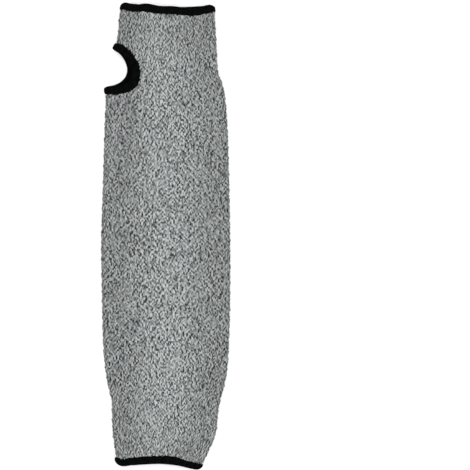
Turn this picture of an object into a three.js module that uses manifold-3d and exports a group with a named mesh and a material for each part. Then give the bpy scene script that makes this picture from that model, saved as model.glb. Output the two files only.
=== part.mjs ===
// A knitted cut resistant sleeve with a thumb hole, lying relaxed on a table.
// Millimetres. +Y runs from the arm end to the hand end and +Z is up off the table.
// The tube is one seamless knitted wall. Its hand end, its arm end and its thumb hole each have a black
// overlocked binding that wraps the cut edge, so each binding is a channel with the knit inside it.

import * as THREE from "three";
import { mergeVertices } from "three/addons/utils/BufferGeometryUtils.js";
import Module from "manifold-3d";

// Driving dimensions of the sleeve
const SLEEVE_LENGTH = 452; // middle of the arm end to middle of the hand end
const FOREARM_WIDTH = 126.5; // flat width at the widest place
const HAND_WIDTH = 92; // flat width at the hand end
const ARM_WIDTH = 84.5; // flat width at the arm end
const PUFF_HEIGHT = 18; // from the middle of the lower wall to the middle of the upper wall
const FOLD_RADIUS = 5; // side folds, at the middle of the wall
const MOST_FOLD_SHARE = 0.42; // a side fold takes at most this share of the height
const KNIT_WALL = 1.6;

// Driving dimensions of the bindings
const BINDING_WIDTH = 7.8; // from the free edge to the lip on the knit
const BINDING_WALL = 1.0; // each side of the channel
const BINDING_WEB = 1.6; // thread packed beyond the cut edge of the knit
const EDGE_CLEARANCE = 0.4; // between the knit and the inside of the channel
const SLOT_HALF = KNIT_WALL / 2 + EDGE_CLEARANCE;
const BINDING_HALF = SLOT_HALF + BINDING_WALL;
const KNIT_INSET = BINDING_WEB + EDGE_CLEARANCE; // free edge of a binding to the cut edge of the knit

// Driving dimensions of the thumb hole, which lies across the left side fold
const THUMB_LENGTH = 34.8; // along the sleeve
const THUMB_FRONT = 26.4; // from the fold round to the front edge of the hole
const THUMB_BACK = 19.5; // from the fold round to the back edge
const THUMB_FROM_HAND = 62.4; // middle of the hole to the hand end
const THUMB_FULLNESS = 0.95; // 1 is an ellipse, less is squarer
const THUMB_SKEW = 0.31; // how much fuller the hole is towards the arm
const THUMB_LEAN = 0.145; // how far the front of the hole leans to the arm
const THUMB_FLARE = 0.9; // how far the free edge stands out of the fold

// How the sleeve lies: the knit rises to the half thickness of a binding where one lies under it
const LIFT = BINDING_HALF - KNIT_WALL / 2;
const LIFT_REACH = 1.5 * BINDING_WIDTH; // full lift this far from a free edge
const LIFT_FADE = 18; // length over which the lift then dies out
const WAVE_FADE = 60; // length over which the waves of an end die out

// Sections from the arm end (along 0) to the hand end (along 1). left and right are the flat outline, as
// shares of half of the width named in "of", and height is a share of PUFF_HEIGHT.
const SECTIONS = [
  { along: 0.0, of: ARM_WIDTH, left: -1.138, right: 0.841, height: 0.86 },
  { along: 0.023, of: ARM_WIDTH, left: -1.152, right: 0.967, height: 0.86 },
  { along: 0.068, of: ARM_WIDTH, left: -1.222, right: 1.172, height: 0.88 },
  { along: 0.116, of: ARM_WIDTH, left: -1.244, right: 1.232, height: 0.92 },
  { along: 0.142, of: FOREARM_WIDTH, left: -0.837, right: 0.856, height: 0.93 },
  { along: 0.173, of: FOREARM_WIDTH, left: -0.89, right: 0.918, height: 0.95 },
  { along: 0.207, of: FOREARM_WIDTH, left: -0.93, right: 0.962, height: 0.97 },
  { along: 0.26, of: FOREARM_WIDTH, left: -0.966, right: 0.988, height: 0.99 },
  { along: 0.359, of: FOREARM_WIDTH, left: -0.983, right: 1.007, height: 1.0 },
  { along: 0.485, of: FOREARM_WIDTH, left: -0.996, right: 1.008, height: 0.97 },
  { along: 0.642, of: FOREARM_WIDTH, left: -0.962, right: 0.988, height: 1.0 },
  { along: 0.746, of: FOREARM_WIDTH, left: -0.941, right: 0.962, height: 0.98 },
  { along: 0.8, of: FOREARM_WIDTH, left: -0.922, right: 0.929, height: 0.93 },
  { along: 0.828, of: FOREARM_WIDTH, left: -0.914, right: 0.889, height: 0.91 },
  { along: 0.846, of: HAND_WIDTH, left: -1.22, right: 1.152, height: 0.9 },
  { along: 0.863, of: HAND_WIDTH, left: -1.178, right: 1.119, height: 0.9 },
  { along: 0.902, of: HAND_WIDTH, left: -1.096, right: 1.1, height: 0.9 },
  { along: 0.919, of: HAND_WIDTH, left: -1.037, right: 1.092, height: 0.89 },
  { along: 0.94, of: HAND_WIDTH, left: -1.009, right: 1.08, height: 0.88 },
  { along: 0.976, of: HAND_WIDTH, left: -0.983, right: 1.056, height: 0.86 },
  { along: 1.0, of: HAND_WIDTH, left: -0.924, right: 1.027, height: 0.86 },
];

// Waves of the two ends. around runs from 0 at the left fold over the front to 0.5 at the right fold and on
// round the back. rise is how far the edge moves towards the hand and width is how wide the binding is
// there, both in shares of BINDING_WIDTH.
const HAND_WAVE = [
  { around: 0.02, rise: 0.275, width: 0.95 },
  { around: 0.085, rise: -0.035, width: 0.9 },
  { around: 0.138, rise: 0.105, width: 1.06 },
  { around: 0.216, rise: -0.215, width: 1.0 },
  { around: 0.277, rise: -0.235, width: 1.04 },
  { around: 0.383, rise: -0.505, width: 0.97 },
  { around: 0.46, rise: -0.06, width: 1.04 },
  { around: 0.5, rise: -0.015, width: 1.0 },
  { around: 0.68, rise: -0.23, width: 1.0 },
  { around: 0.86, rise: 0.03, width: 1.0 },
];
const ARM_WAVE = [
  { around: 0.0, rise: 0.29, width: 0.9 },
  { around: 0.045, rise: -0.03, width: 0.92 },
  { around: 0.1, rise: 0.095, width: 1.0 },
  { around: 0.24, rise: 0.29, width: 1.02 },
  { around: 0.32, rise: 0.23, width: 0.98 },
  { around: 0.38, rise: -0.05, width: 0.85 },
  { around: 0.46, rise: -0.425, width: 0.77 },
  { around: 0.5, rise: -0.52, width: 0.72 },
  { around: 0.62, rise: -0.1, width: 0.85 },
  { around: 0.78, rise: 0.22, width: 1.0 },
  { around: 0.92, rise: 0.08, width: 0.95 },
];

// Shallow dents in the upper wall. across is -1 at the left fold and 1 at the right, along is as in
// SECTIONS, depth is a share of PUFF_HEIGHT, and the two reaches are how far the dent spreads.
const DENTS = [
  { along: 0.812, across: 0.75, depth: 0.11, reachAlong: 0.03, reachAcross: 0.5 },
  { along: 0.8, across: -0.55, depth: 0.05, reachAlong: 0.025, reachAcross: 0.4 },
  { along: 0.49, across: -0.8, depth: 0.07, reachAlong: 0.02, reachAcross: 0.45 },
  { along: 0.49, across: 0.8, depth: 0.07, reachAlong: 0.02, reachAcross: 0.45 },
  { along: 0.19, across: 0.72, depth: 0.13, reachAlong: 0.035, reachAcross: 0.3 },
  { along: 0.165, across: -0.75, depth: 0.09, reachAlong: 0.025, reachAcross: 0.35 },
];

// Fineness of the facets
const FOLD_FACETS = 4; // a quarter turn of a side fold above its widest point
const UNDER_FOLD_FACETS = 5; // a quarter turn below it
const TOP_FACETS = 16;
const BOTTOM_FACETS = 9;
const ROW_SPACING = 18;
const THUMB_ROW_SPACING = 5; // rows beside the thumb hole and its binding
const THUMB_FACETS = 64;
const NOSE_FACETS = 4; // half of the rounded free edge of a binding
const PLUG_RINGS = 9;

const smoothstep = (t) => THREE.MathUtils.smoothstep(t, 0, 1);

// A column of a table at a place, on a cubic through its rows with the slope of their neighbours.
function tableAt(rows, place, key, value) {
  const last = rows.length - 2;
  let i = rows.findIndex((row) => row[key] > place) - 1;
  i = i < 0 ? (place < rows[0][key] ? 0 : last) : Math.min(i, last);
  const at = (n) => rows[THREE.MathUtils.clamp(n, 0, rows.length - 1)];
  const slope = (n) => (value(at(n + 1)) - value(at(n - 1))) / (at(n + 1)[key] - at(n - 1)[key]);
  const span = at(i + 1)[key] - at(i)[key];
  const t = (place - at(i)[key]) / span;
  const clamped = THREE.MathUtils.clamp(t, 0, 1);
  const [t2, t3] = [clamped ** 2, clamped ** 3];
  const curve =
    (2 * t3 - 3 * t2 + 1) * value(at(i)) +
    (t3 - 2 * t2 + clamped) * span * slope(i) +
    (3 * t2 - 2 * t3) * value(at(i + 1)) +
    (t3 - t2) * span * slope(i + 1);
  return curve + (t - clamped) * span * slope(t > 1 ? i + 1 : i);
}

// A table of waves repeats after one turn, so its first and last rows are copied past both ends.
function closedTable(rows) {
  const turned = (row, turns) => ({ ...row, around: row.around + turns });
  return [turned(rows.at(-1), -1), ...rows, turned(rows[0], 1), turned(rows[1], 1)];
}

const waveAt = (rows, around, column) =>
  BINDING_WIDTH * tableAt(closedTable(rows), around, "around", (row) => row[column]);

// Share of the lift at a distance from a free edge, and at a distance y from the arm end.
const liftShare = (distance) => 1 - smoothstep((distance - LIFT_REACH) / LIFT_FADE);
const endLift = (y) => liftShare(Math.min(y, SLEEVE_LENGTH - y));

// The middle of the wall at a distance y from the arm end: a flat lower line, two side folds and one
// shallow arc over the top that is tangent to both folds.
function sectionAt(y) {
  const along = y / SLEEVE_LENGTH;
  const column = (value) => tableAt(SECTIONS, along, "along", value);
  const left = column((row) => (row.left * row.of) / 2) + KNIT_WALL / 2;
  const right = column((row) => (row.right * row.of) / 2) - KNIT_WALL / 2;
  const height = column((row) => row.height) * PUFF_HEIGHT;
  const fold = Math.min(FOLD_RADIUS, MOST_FOLD_SHARE * height);
  const flat = (right - left) / 2 - fold;
  const topRadius = (flat ** 2 + (height - fold) ** 2 - fold ** 2) / (2 * (height - 2 * fold));
  const tilt = Math.asin(flat / (topRadius - fold));
  const base = KNIT_WALL / 2 + LIFT * endLift(y);
  const lengths = [
    fold * (Math.PI / 2 - tilt),
    2 * topRadius * tilt,
    fold * (Math.PI / 2 - tilt),
    (fold * Math.PI) / 2,
    2 * flat,
    (fold * Math.PI) / 2,
  ];
  const girth = lengths.reduce((sum, length) => sum + length, 0);
  return { middle: (left + right) / 2, height, fold, flat, topRadius, tilt, base, lengths, girth };
}

// Distance around a section, from the left fold over the top, of a column of facets.
const FACETS = [FOLD_FACETS, TOP_FACETS, FOLD_FACETS, UNDER_FOLD_FACETS, BOTTOM_FACETS, UNDER_FOLD_FACETS];
const COLUMNS = FACETS.reduce((sum, count) => sum + count, 0);
function girthAtColumn(section, column) {
  let [left, run] = [column, 0];
  for (let part = 0; part < FACETS.length; part++) {
    if (left <= FACETS[part]) return run + (section.lengths[part] * left) / FACETS[part];
    left -= FACETS[part];
    run += section.lengths[part];
  }
  return run;
}

// Point and outward direction of a section at a distance around it.
function onSection(section, around) {
  const { middle, height, fold, flat, topRadius, tilt, base, lengths, girth } = section;
  let run = ((around % girth) + girth) % girth;
  let part = 0;
  while (part < lengths.length - 1 && run > lengths[part]) run -= lengths[part++];
  if (part === 4) return { x: middle + flat - run, z: base, nx: 0, nz: -1 };
  const turns = [
    { angle: Math.PI / 2 - run / fold, x: middle - flat, z: base + fold, radius: fold },
    { angle: tilt - run / topRadius, x: middle, z: base + height - topRadius, radius: topRadius },
    { angle: -tilt - run / fold, x: middle + flat, z: base + fold, radius: fold },
    { angle: -Math.PI / 2 - run / fold, x: middle + flat, z: base + fold, radius: fold },
    null,
    { angle: -Math.PI - run / fold, x: middle - flat, z: base + fold, radius: fold },
  ];
  const turn = turns[part];
  const [nx, nz] = [-Math.sin(turn.angle), Math.cos(turn.angle)];
  return { x: turn.x + turn.radius * nx, z: turn.z + turn.radius * nz, nx, nz };
}

// Outline of the thumb hole's free edge in the unrolled wall, where x is around and y is along: a
// squared-off ellipse, deeper on the front than on the back, fuller and leaning towards the arm. The turn
// is 0 at its hand end and pi at its arm end.
const THUMB_MIDDLE = new THREE.Vector2((THUMB_FRONT - THUMB_BACK) / 2, SLEEVE_LENGTH - THUMB_FROM_HAND);
const thumbFullness = (turn) =>
  Math.abs(Math.sin(turn)) ** THUMB_FULLNESS * (1 - THUMB_SKEW * Math.cos(turn));
const FINE_TURNS = Array.from({ length: 720 }, (_, i) => (2 * Math.PI * i) / 720);
const FULLEST = Math.max(...FINE_TURNS.map(thumbFullness));
function thumbEdge(turn) {
  const depth = Math.sin(turn) > 0 ? THUMB_FRONT : -THUMB_BACK;
  const around = (depth * thumbFullness(turn)) / FULLEST;
  const along = (THUMB_LENGTH / 2) * Math.cos(turn) - THUMB_LEAN * Math.max(0, around);
  return new THREE.Vector2(around, THUMB_MIDDLE.y + along);
}

// Directions in the unrolled wall that point away from the hole, one at each point of a closed outline.
function awayFromHole(outline) {
  return outline.map((_, i) => {
    const next = outline[(i + 1) % outline.length];
    const before = outline[(i + outline.length - 1) % outline.length];
    const run = next.clone().sub(before).normalize();
    return new THREE.Vector2(-run.y, run.x);
  });
}

// Points of the free edge, spaced so that the binding's lip behind them has even facets.
function thumbOutline(count) {
  const fine = FINE_TURNS.map(thumbEdge);
  const away = awayFromHole(fine);
  const lip = fine.map((point, i) => point.clone().addScaledVector(away[i], BINDING_WIDTH));
  const run = [0];
  for (let i = 1; i <= lip.length; i++) run.push(run[i - 1] + lip[i % lip.length].distanceTo(lip[i - 1]));
  return Array.from({ length: count }, (_, n) => {
    const target = (run.at(-1) * n) / count;
    const i = Math.max(1, run.findIndex((length) => length >= target));
    const share = (target - run[i - 1]) / (run[i] - run[i - 1]);
    return thumbEdge(((i - 1 + share) * 2 * Math.PI) / FINE_TURNS.length);
  });
}

const THUMB_EDGE = thumbOutline(THUMB_FACETS);
const THUMB_AWAY = awayFromHole(THUMB_EDGE);

// How far a place in the unrolled wall lies outside the thumb hole's free edge.
function beyondThumb(around, y) {
  const here = new THREE.Vector2(around, y);
  return Math.min(...THUMB_EDGE.map((point) => point.distanceTo(here)));
}

// Depth of the shallow dents at a place on the upper wall.
function dentAt(across, along) {
  return DENTS.reduce((sum, dent) => {
    const awayAlong = (along - dent.along) / dent.reachAlong;
    const awayAcross = (across - dent.across) / dent.reachAcross;
    return sum + dent.depth * PUFF_HEIGHT * Math.exp(-(awayAlong ** 2) - awayAcross ** 2);
  }, 0);
}

// A point of the wall: around and y place it in the unrolled wall, and out is its distance from the middle
// of the wall, outwards.
function wallPoint(around, y, out) {
  const section = sectionAt(y);
  const place = onSection(section, around);
  const signed = around > section.girth / 2 ? around - section.girth : around;
  const beyond = beyondThumb(signed, y);
  const lift = LIFT * liftShare(beyond) * (1 - endLift(y));
  const flare = THUMB_FLARE * Math.exp(-((beyond / BINDING_WIDTH) ** 2)) * Math.max(0, -place.nx) ** 2;
  const across = (place.x - section.middle) / (section.flat + section.fold);
  const dent = dentAt(across, y / SLEEVE_LENGTH) * Math.max(0, place.nz);
  return new THREE.Vector3(place.x - flare + out * place.nx, y, place.z + lift - dent + out * place.nz);
}

const columnPoint = (column, y, out) => wallPoint(girthAtColumn(sectionAt(y), column), y, out);

// Closed body from a grid of points that closes both ways, such as a profile carried round a loop.
function closedBody(loops) {
  const [count, size] = [loops.length, loops[0].length];
  const index = [];
  for (let i = 0; i < count; i++) {
    for (let k = 0; k < size; k++) {
      const at = (a, b) => ((i + a) % count) * size + ((k + b) % size);
      index.push(at(0, 0), at(1, 0), at(1, 1), at(0, 0), at(1, 1), at(0, 1));
    }
  }
  return outwardGeometry(loops.flat(), index);
}

// Geometry from points and triangles, with its faces turned outwards.
function outwardGeometry(points, index) {
  let volume = 0;
  for (let i = 0; i < index.length; i += 3) {
    const [a, b, c] = [points[index[i]], points[index[i + 1]], points[index[i + 2]]];
    volume += a.dot(b.clone().cross(c));
  }
  if (volume < 0) index.reverse();
  const geometry = new THREE.BufferGeometry().setFromPoints(points);
  geometry.setIndex(index);
  return geometry;
}

// Free edge of an end and width of its binding, at a column of facets. side is 1 at the hand end and -1
// at the arm end.
function endAt(column, side) {
  const section = sectionAt(side > 0 ? SLEEVE_LENGTH : 0);
  const around = girthAtColumn(section, column) / section.girth;
  const rows = side > 0 ? HAND_WAVE : ARM_WAVE;
  const edge = (side > 0 ? SLEEVE_LENGTH : 0) + waveAt(rows, around, "rise");
  return { edge, width: waveAt(rows, around, "width") };
}

// Rows of the knit between the two bindings, as distances from the arm end.
function middleRows() {
  const rows = [];
  const thumbReach = THUMB_LENGTH / 2 + 2 * BINDING_WIDTH;
  for (let i = 0; i < SECTIONS.length - 1; i++) {
    const [from, to] = [SECTIONS[i].along * SLEEVE_LENGTH, SECTIONS[i + 1].along * SLEEVE_LENGTH];
    const besideThumb = from < THUMB_MIDDLE.y + thumbReach && to > THUMB_MIDDLE.y - thumbReach;
    const spacing = besideThumb ? THUMB_ROW_SPACING : ROW_SPACING;
    const steps = Math.max(1, Math.round((to - from) / spacing));
    for (let step = 0; step < steps; step++) rows.push(from + ((to - from) * step) / steps);
  }
  const clearOfBindings = 2 * BINDING_WIDTH;
  return rows.filter((y) => y > clearOfBindings && y < SLEEVE_LENGTH - clearOfBindings);
}

// The knitted tube before the thumb hole is cut: each column is one loop, out along the outer side of the
// wall and back along the inner side.
function knitBlank() {
  const rows = middleRows();
  const columns = Array.from({ length: COLUMNS }, (_, column) => {
    const [arm, hand] = [endAt(column, -1).edge, endAt(column, 1).edge];
    const wavy = rows.map((y) => {
      const armWave = arm * (1 - smoothstep(y / WAVE_FADE));
      const handWave = (hand - SLEEVE_LENGTH) * (1 - smoothstep((SLEEVE_LENGTH - y) / WAVE_FADE));
      return y + armWave + handWave;
    });
    const armRows = [arm + KNIT_INSET, arm + BINDING_WIDTH];
    const handRows = [hand - BINDING_WIDTH, hand - KNIT_INSET];
    const stations = [...armRows, ...wavy, ...handRows];
    const outer = stations.map((y) => columnPoint(column, y, KNIT_WALL / 2));
    const inner = stations.map((y) => columnPoint(column, y, -KNIT_WALL / 2)).reverse();
    return [...outer, ...inner];
  });
  return closedBody(columns);
}

// The piece of wall that the thumb hole takes out, thicker than the knit, from the middle of the hole out
// to the cut edge.
function thumbPlug() {
  const cutEdge = THUMB_EDGE.map((point, i) => point.clone().addScaledVector(THUMB_AWAY[i], KNIT_INSET));
  const count = cutEdge.length;
  const reach = KNIT_WALL;
  const rings = Array.from({ length: PLUG_RINGS }, (_, ring) =>
    cutEdge.map((point) => THUMB_MIDDLE.clone().lerp(point, (ring + 1) / PLUG_RINGS)),
  );
  const side = (out) => [THUMB_MIDDLE, ...rings.flat()].map((at) => wallPoint(at.x, at.y, out));
  const points = [...side(reach), ...side(-reach)];
  const other = 1 + PLUG_RINGS * count;
  const index = [];
  for (let i = 0; i < count; i++) {
    const next = (i + 1) % count;
    index.push(0, 1 + i, 1 + next, other, other + 1 + next, other + 1 + i);
    for (let ring = 0; ring < PLUG_RINGS - 1; ring++) {
      const [a, b] = [1 + ring * count + i, 1 + ring * count + next];
      const [c, d] = [a + count, b + count];
      index.push(a, c, d, a, d, b);
      index.push(other + a, other + d, other + c, other + a, other + b, other + d);
    }
    const [a, b] = [1 + (PLUG_RINGS - 1) * count + i, 1 + (PLUG_RINGS - 1) * count + next];
    index.push(a, other + a, other + b, a, other + b, b);
  }
  return outwardGeometry(points, index);
}

// Profile of a binding whose lip is a given distance from the free edge: inward is the distance from the
// free edge on to the knit and out is across the wall. It goes over the outer side, round the nose, back
// along the inner side and through the slot.
function bindingProfile(lip) {
  const shoulder = lip - BINDING_WALL / 2;
  const nose = Array.from({ length: 2 * NOSE_FACETS + 1 }, (_, i) => {
    const turn = (Math.PI / 2) * (1 - i / NOSE_FACETS);
    return { inward: BINDING_HALF * (1 - Math.cos(turn)), out: BINDING_HALF * Math.sin(turn) };
  });
  return [
    { inward: lip, out: SLOT_HALF },
    { inward: shoulder, out: BINDING_HALF },
    ...nose,
    { inward: shoulder, out: -BINDING_HALF },
    { inward: lip, out: -SLOT_HALF },
    { inward: BINDING_WEB, out: -SLOT_HALF },
    { inward: BINDING_WEB, out: SLOT_HALF },
  ];
}

// Binding of an end of the tube.
function endBinding(side) {
  return closedBody(
    Array.from({ length: COLUMNS }, (_, column) => {
      const { edge, width } = endAt(column, side);
      return bindingProfile(width).map(({ inward, out }) => columnPoint(column, edge - side * inward, out));
    }),
  );
}

// Binding of the thumb hole.
function thumbBinding() {
  const profile = bindingProfile(BINDING_WIDTH);
  return closedBody(
    THUMB_EDGE.map((edge, i) =>
      profile.map(({ inward, out }) => {
        const at = edge.clone().addScaledVector(THUMB_AWAY[i], inward);
        return wallPoint(at.x, at.y, out);
      }),
    ),
  );
}

const wasm = await Module();
wasm.setup();

function solidFrom(geometry) {
  const bare = mergeVertices(new THREE.BufferGeometry()
    .setAttribute("position", geometry.getAttribute("position"))
    .setIndex(geometry.getIndex()));
  return new wasm.Manifold(
    new wasm.Mesh({
      numProp: 3,
      vertProperties: bare.attributes.position.array,
      triVerts: new Uint32Array(bare.index.array),
    }),
  );
}

function geometryFrom(solid) {
  const { vertProperties, triVerts } = solid.getMesh();
  return new THREE.BufferGeometry()
    .setAttribute("position", new THREE.BufferAttribute(vertProperties, 3))
    .setIndex(new THREE.BufferAttribute(triVerts, 1));
}

const knitMaterial = new THREE.MeshStandardMaterial({ color: 0x898d8c, roughness: 0.95, metalness: 0 });
const bindingMaterial = new THREE.MeshStandardMaterial({ color: 0x0d0e0e, roughness: 0.9, metalness: 0 });

function piece(name, geometry, material) {
  const mesh = new THREE.Mesh(geometry, material);
  mesh.name = name;
  return mesh;
}

const knit = geometryFrom(solidFrom(knitBlank()).subtract(solidFrom(thumbPlug())));

const sleeve = new THREE.Group();
sleeve.add(
  piece("knit_tube", knit, knitMaterial),
  piece("hand_end_binding", endBinding(1), bindingMaterial),
  piece("arm_end_binding", endBinding(-1), bindingMaterial),
  piece("thumb_hole_binding", thumbBinding(), bindingMaterial),
);

// The origin is on the table, under the middle of the sleeve.
const extent = new THREE.Box3().setFromObject(sleeve);
const middle = extent.getCenter(new THREE.Vector3());
sleeve.position.set(-middle.x, -middle.y, -extent.min.z);

const root = new THREE.Group();
root.add(sleeve);

export default root;
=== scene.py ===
"""A knitted cut resistant sleeve lying relaxed on a pale floor, seen from straight above.

The knit has its real stitches, each with a left and a right leg, and the two ends and the thumb hole have
black overlocked bindings. Metres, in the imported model's frame: +Y towards the hand end, +Z up.
"""

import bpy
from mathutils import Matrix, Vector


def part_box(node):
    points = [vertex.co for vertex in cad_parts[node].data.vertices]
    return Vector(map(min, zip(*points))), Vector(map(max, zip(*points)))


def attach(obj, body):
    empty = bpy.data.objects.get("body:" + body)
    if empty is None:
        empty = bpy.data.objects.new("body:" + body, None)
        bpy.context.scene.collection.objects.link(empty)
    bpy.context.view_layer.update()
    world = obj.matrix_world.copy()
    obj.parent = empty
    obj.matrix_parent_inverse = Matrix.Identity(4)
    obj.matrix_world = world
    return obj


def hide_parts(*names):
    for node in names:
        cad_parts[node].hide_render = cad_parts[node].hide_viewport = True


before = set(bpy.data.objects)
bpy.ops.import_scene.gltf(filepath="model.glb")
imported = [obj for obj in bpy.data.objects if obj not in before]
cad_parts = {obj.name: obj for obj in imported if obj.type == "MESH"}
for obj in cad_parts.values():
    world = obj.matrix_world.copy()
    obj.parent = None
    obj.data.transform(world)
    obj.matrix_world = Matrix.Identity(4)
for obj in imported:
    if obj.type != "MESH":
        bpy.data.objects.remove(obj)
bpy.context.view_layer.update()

import math
from types import SimpleNamespace

import bpy
import numpy as np

# Sizes of the sleeve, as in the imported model
SLEEVE_LENGTH = 0.452  # middle of the arm end to middle of the hand end
FOREARM_WIDTH = 0.1265
HAND_WIDTH = 0.092
ARM_WIDTH = 0.0845
PUFF_HEIGHT = 0.018  # from the middle of the lower wall to the middle of the upper wall
FOLD_RADIUS = 0.005
MOST_FOLD_SHARE = 0.42  # a fold's radius is at most this share of the height
KNIT_WALL = 0.0016
BINDING_WIDTH = 0.0078
BINDING_WALL = 0.001
BINDING_WEB = 0.0016
EDGE_CLEARANCE = 0.0004
SLOT_HALF = KNIT_WALL / 2 + EDGE_CLEARANCE
BINDING_HALF = SLOT_HALF + BINDING_WALL
KNIT_INSET = BINDING_WEB + EDGE_CLEARANCE
THUMB_LENGTH = 0.0348
THUMB_FRONT = 0.0264  # depth of the hole in the front
THUMB_BACK = 0.0195  # and in the back
THUMB_FROM_HAND = 0.0624
THUMB_FULLNESS = 0.95
THUMB_SKEW = 0.31  # how much fuller it is towards the arm
THUMB_LEAN = 0.145
THUMB_FLARE = 0.0009  # the fold stands out this far beside the hole
THUMB_AROUND = 0.06  # the hole and all that it changes lie within this distance of its middle
THUMB_FINE = 2880  # points of its outline
THUMB_EVERY = 36  # one in so many of them is enough to measure distances from
THUMB_CUT = 240  # points of the outline that cuts the knit
LIFT = BINDING_HALF - KNIT_WALL / 2  # the knit rises this far where a binding lies under it
LIFT_REACH = 1.5 * BINDING_WIDTH  # the whole lift reaches this far from the free edge
LIFT_FADE = 0.018  # and fades out over this
WAVE_FADE = 0.06  # the rows of stitches follow the waves of an end this far in

# Sections from the arm end (along 0) to the hand end (along 1): left and right are shares of half the
# width, and height is a share of PUFF_HEIGHT.
SECTION_COLUMNS = ("along", "width", "left", "right", "height")
SECTIONS = [
    (0.0, ARM_WIDTH, -1.138, 0.841, 0.86),
    (0.023, ARM_WIDTH, -1.152, 0.967, 0.86),
    (0.068, ARM_WIDTH, -1.222, 1.172, 0.88),
    (0.116, ARM_WIDTH, -1.244, 1.232, 0.92),
    (0.142, FOREARM_WIDTH, -0.837, 0.856, 0.93),
    (0.173, FOREARM_WIDTH, -0.89, 0.918, 0.95),
    (0.207, FOREARM_WIDTH, -0.93, 0.962, 0.97),
    (0.26, FOREARM_WIDTH, -0.966, 0.988, 0.99),
    (0.359, FOREARM_WIDTH, -0.983, 1.007, 1.0),
    (0.485, FOREARM_WIDTH, -0.996, 1.008, 0.97),
    (0.642, FOREARM_WIDTH, -0.962, 0.988, 1.0),
    (0.746, FOREARM_WIDTH, -0.941, 0.962, 0.98),
    (0.8, FOREARM_WIDTH, -0.922, 0.929, 0.93),
    (0.828, FOREARM_WIDTH, -0.914, 0.889, 0.91),
    (0.846, HAND_WIDTH, -1.22, 1.152, 0.9),
    (0.863, HAND_WIDTH, -1.178, 1.119, 0.9),
    (0.902, HAND_WIDTH, -1.096, 1.1, 0.9),
    (0.919, HAND_WIDTH, -1.037, 1.092, 0.89),
    (0.94, HAND_WIDTH, -1.009, 1.08, 0.88),
    (0.976, HAND_WIDTH, -0.983, 1.056, 0.86),
    (1.0, HAND_WIDTH, -0.924, 1.027, 0.86),
]
# Waves of the two ends: the share of the way round from the left fold over the front, how far the edge
# moves towards the hand and how wide the binding is there, in shares of BINDING_WIDTH.
HAND_WAVE = [
    (0.02, 0.275, 0.95), (0.085, -0.035, 0.9), (0.138, 0.105, 1.06), (0.216, -0.215, 1.0),
    (0.277, -0.235, 1.04), (0.383, -0.505, 0.97), (0.46, -0.06, 1.04), (0.5, -0.015, 1.0),
    (0.68, -0.23, 1.0), (0.86, 0.03, 1.0),
]
ARM_WAVE = [
    (0.0, 0.29, 0.9), (0.045, -0.03, 0.92), (0.1, 0.095, 1.0), (0.24, 0.29, 1.02),
    (0.32, 0.23, 0.98), (0.38, -0.05, 0.85), (0.46, -0.425, 0.77), (0.5, -0.52, 0.72),
    (0.62, -0.1, 0.85), (0.78, 0.22, 1.0), (0.92, 0.08, 0.95),
]
# Shallow dents in the upper wall: along, across, depth, reach along and reach across. Along is 0 at the
# arm end and 1 at the hand end, across is -1 at the left fold and 1 at the right, and depth is a share of
# PUFF_HEIGHT.
DENTS = [
    (0.812, 0.75, 0.11, 0.03, 0.5),
    (0.8, -0.55, 0.05, 0.025, 0.4),
    (0.49, -0.8, 0.07, 0.02, 0.45),
    (0.49, 0.8, 0.07, 0.02, 0.45),
    (0.19, 0.72, 0.13, 0.035, 0.3),
    (0.165, -0.75, 0.09, 0.025, 0.35),
]
# Patches of painted shade and painted light on the knit, with the columns of DENTS. Depth is the share of the
# colour that painted shade takes away, or that painted light adds where it is below 0.
PAINTED_SHADE_AND_LIGHT = [
    (0.95, 0.3, 0.2, 0.03, 0.28),
    (0.955, -0.9, 0.1, 0.025, 0.3),
    (0.9, 0.25, 0.1, 0.025, 0.2),
    (0.7, -0.52, 0.17, 0.1, 0.12),
    (0.57, 0.1, 0.1, 0.022, 0.4),
    (0.19, 0.85, 0.06, 0.03, 0.2),
    (0.05, 1.0, -0.17, 0.05, 0.16),
    (0.87, 1.0, -0.12, 0.03, 0.14),
    (0.9, -0.45, -0.1, 0.03, 0.2),
    (0.03, 0.28, 0.15, 0.03, 0.18),
    (0.79, 0.3, 0.12, 0.02, 0.12),
    (0.78, -0.6, 0.14, 0.02, 0.12),
    # a painted shadow under the lip of the hand end
    (0.975, 0.06, 0.45, 0.008, 0.12),
]
PAINTED_FOLD_SHADE = 0.24  # share of the colour taken away at the folds, as painted shade
SHADE_START = 0.75  # share of the way from the middle to a fold past which the whole of it is lost
SHADE_WIDTH = 0.65  # it grows over this share before that

# The knit: 13 stitches to the inch round the forearm
WALES = 132  # stitches round the sleeve
COURSES = 304  # stitches along it
PER_WALE = 4  # grid columns in a stitch: edge, left leg, middle, right leg
PER_COURSE = 2  # grid rows in a stitch
STITCH_RISE = 0.0011  # how far a leg climbs from the middle of its stitch to the edge
STITCH_DEPTH = 0.00062  # from the crown of a leg to the gap between two stitches
MIDDLE_SHARE = 0.3  # height of the gap between the two legs of a stitch, as a share of the depth
LINK_SHARE = 0.42  # height where one leg passes into the next
PLUMPNESS = (0.72, 1.0)  # least and most height of a leg
HOLE_MARGIN = 0.0007  # stitches are left out up to this far past the clearance behind the thumb binding's web
KNIT_PIECES = ("knit_arm_part", "knit_elbow_part", "knit_wrist_part", "knit_hand_part")
# Where the outer side, the inner side and the two lines of the rims lie in a piece's bake map: the start
# and height of a stripe for each, and the margin beside them
STRIPES = np.array([(0.005, 0.49), (0.505, 0.455), (0.97, 0.0), (0.97, 0.02)])
STRIPE_MARGIN = 0.005
# How the stitches wander: how far, how far one by one, and the waves in which they do, each with its
# number of turns round the sleeve, its length along it and its height
ROW_DRIFT, ROW_SCATTER = 0.0004, 0.00007
ROW_WAVES = [(3, 0.31, 1.0), (7, 0.13, 0.7), (13, 0.057, 0.5)]
STEADY_END = 0.03  # the rows wander less and less over this distance from an end
COLUMN_DRIFT, COLUMN_SCATTER = 0.00022, 0.00006
COLUMN_WAVES = [(2, 0.23, 1.0), (9, 0.09, 0.6), (17, 0.041, 0.5)]
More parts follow.
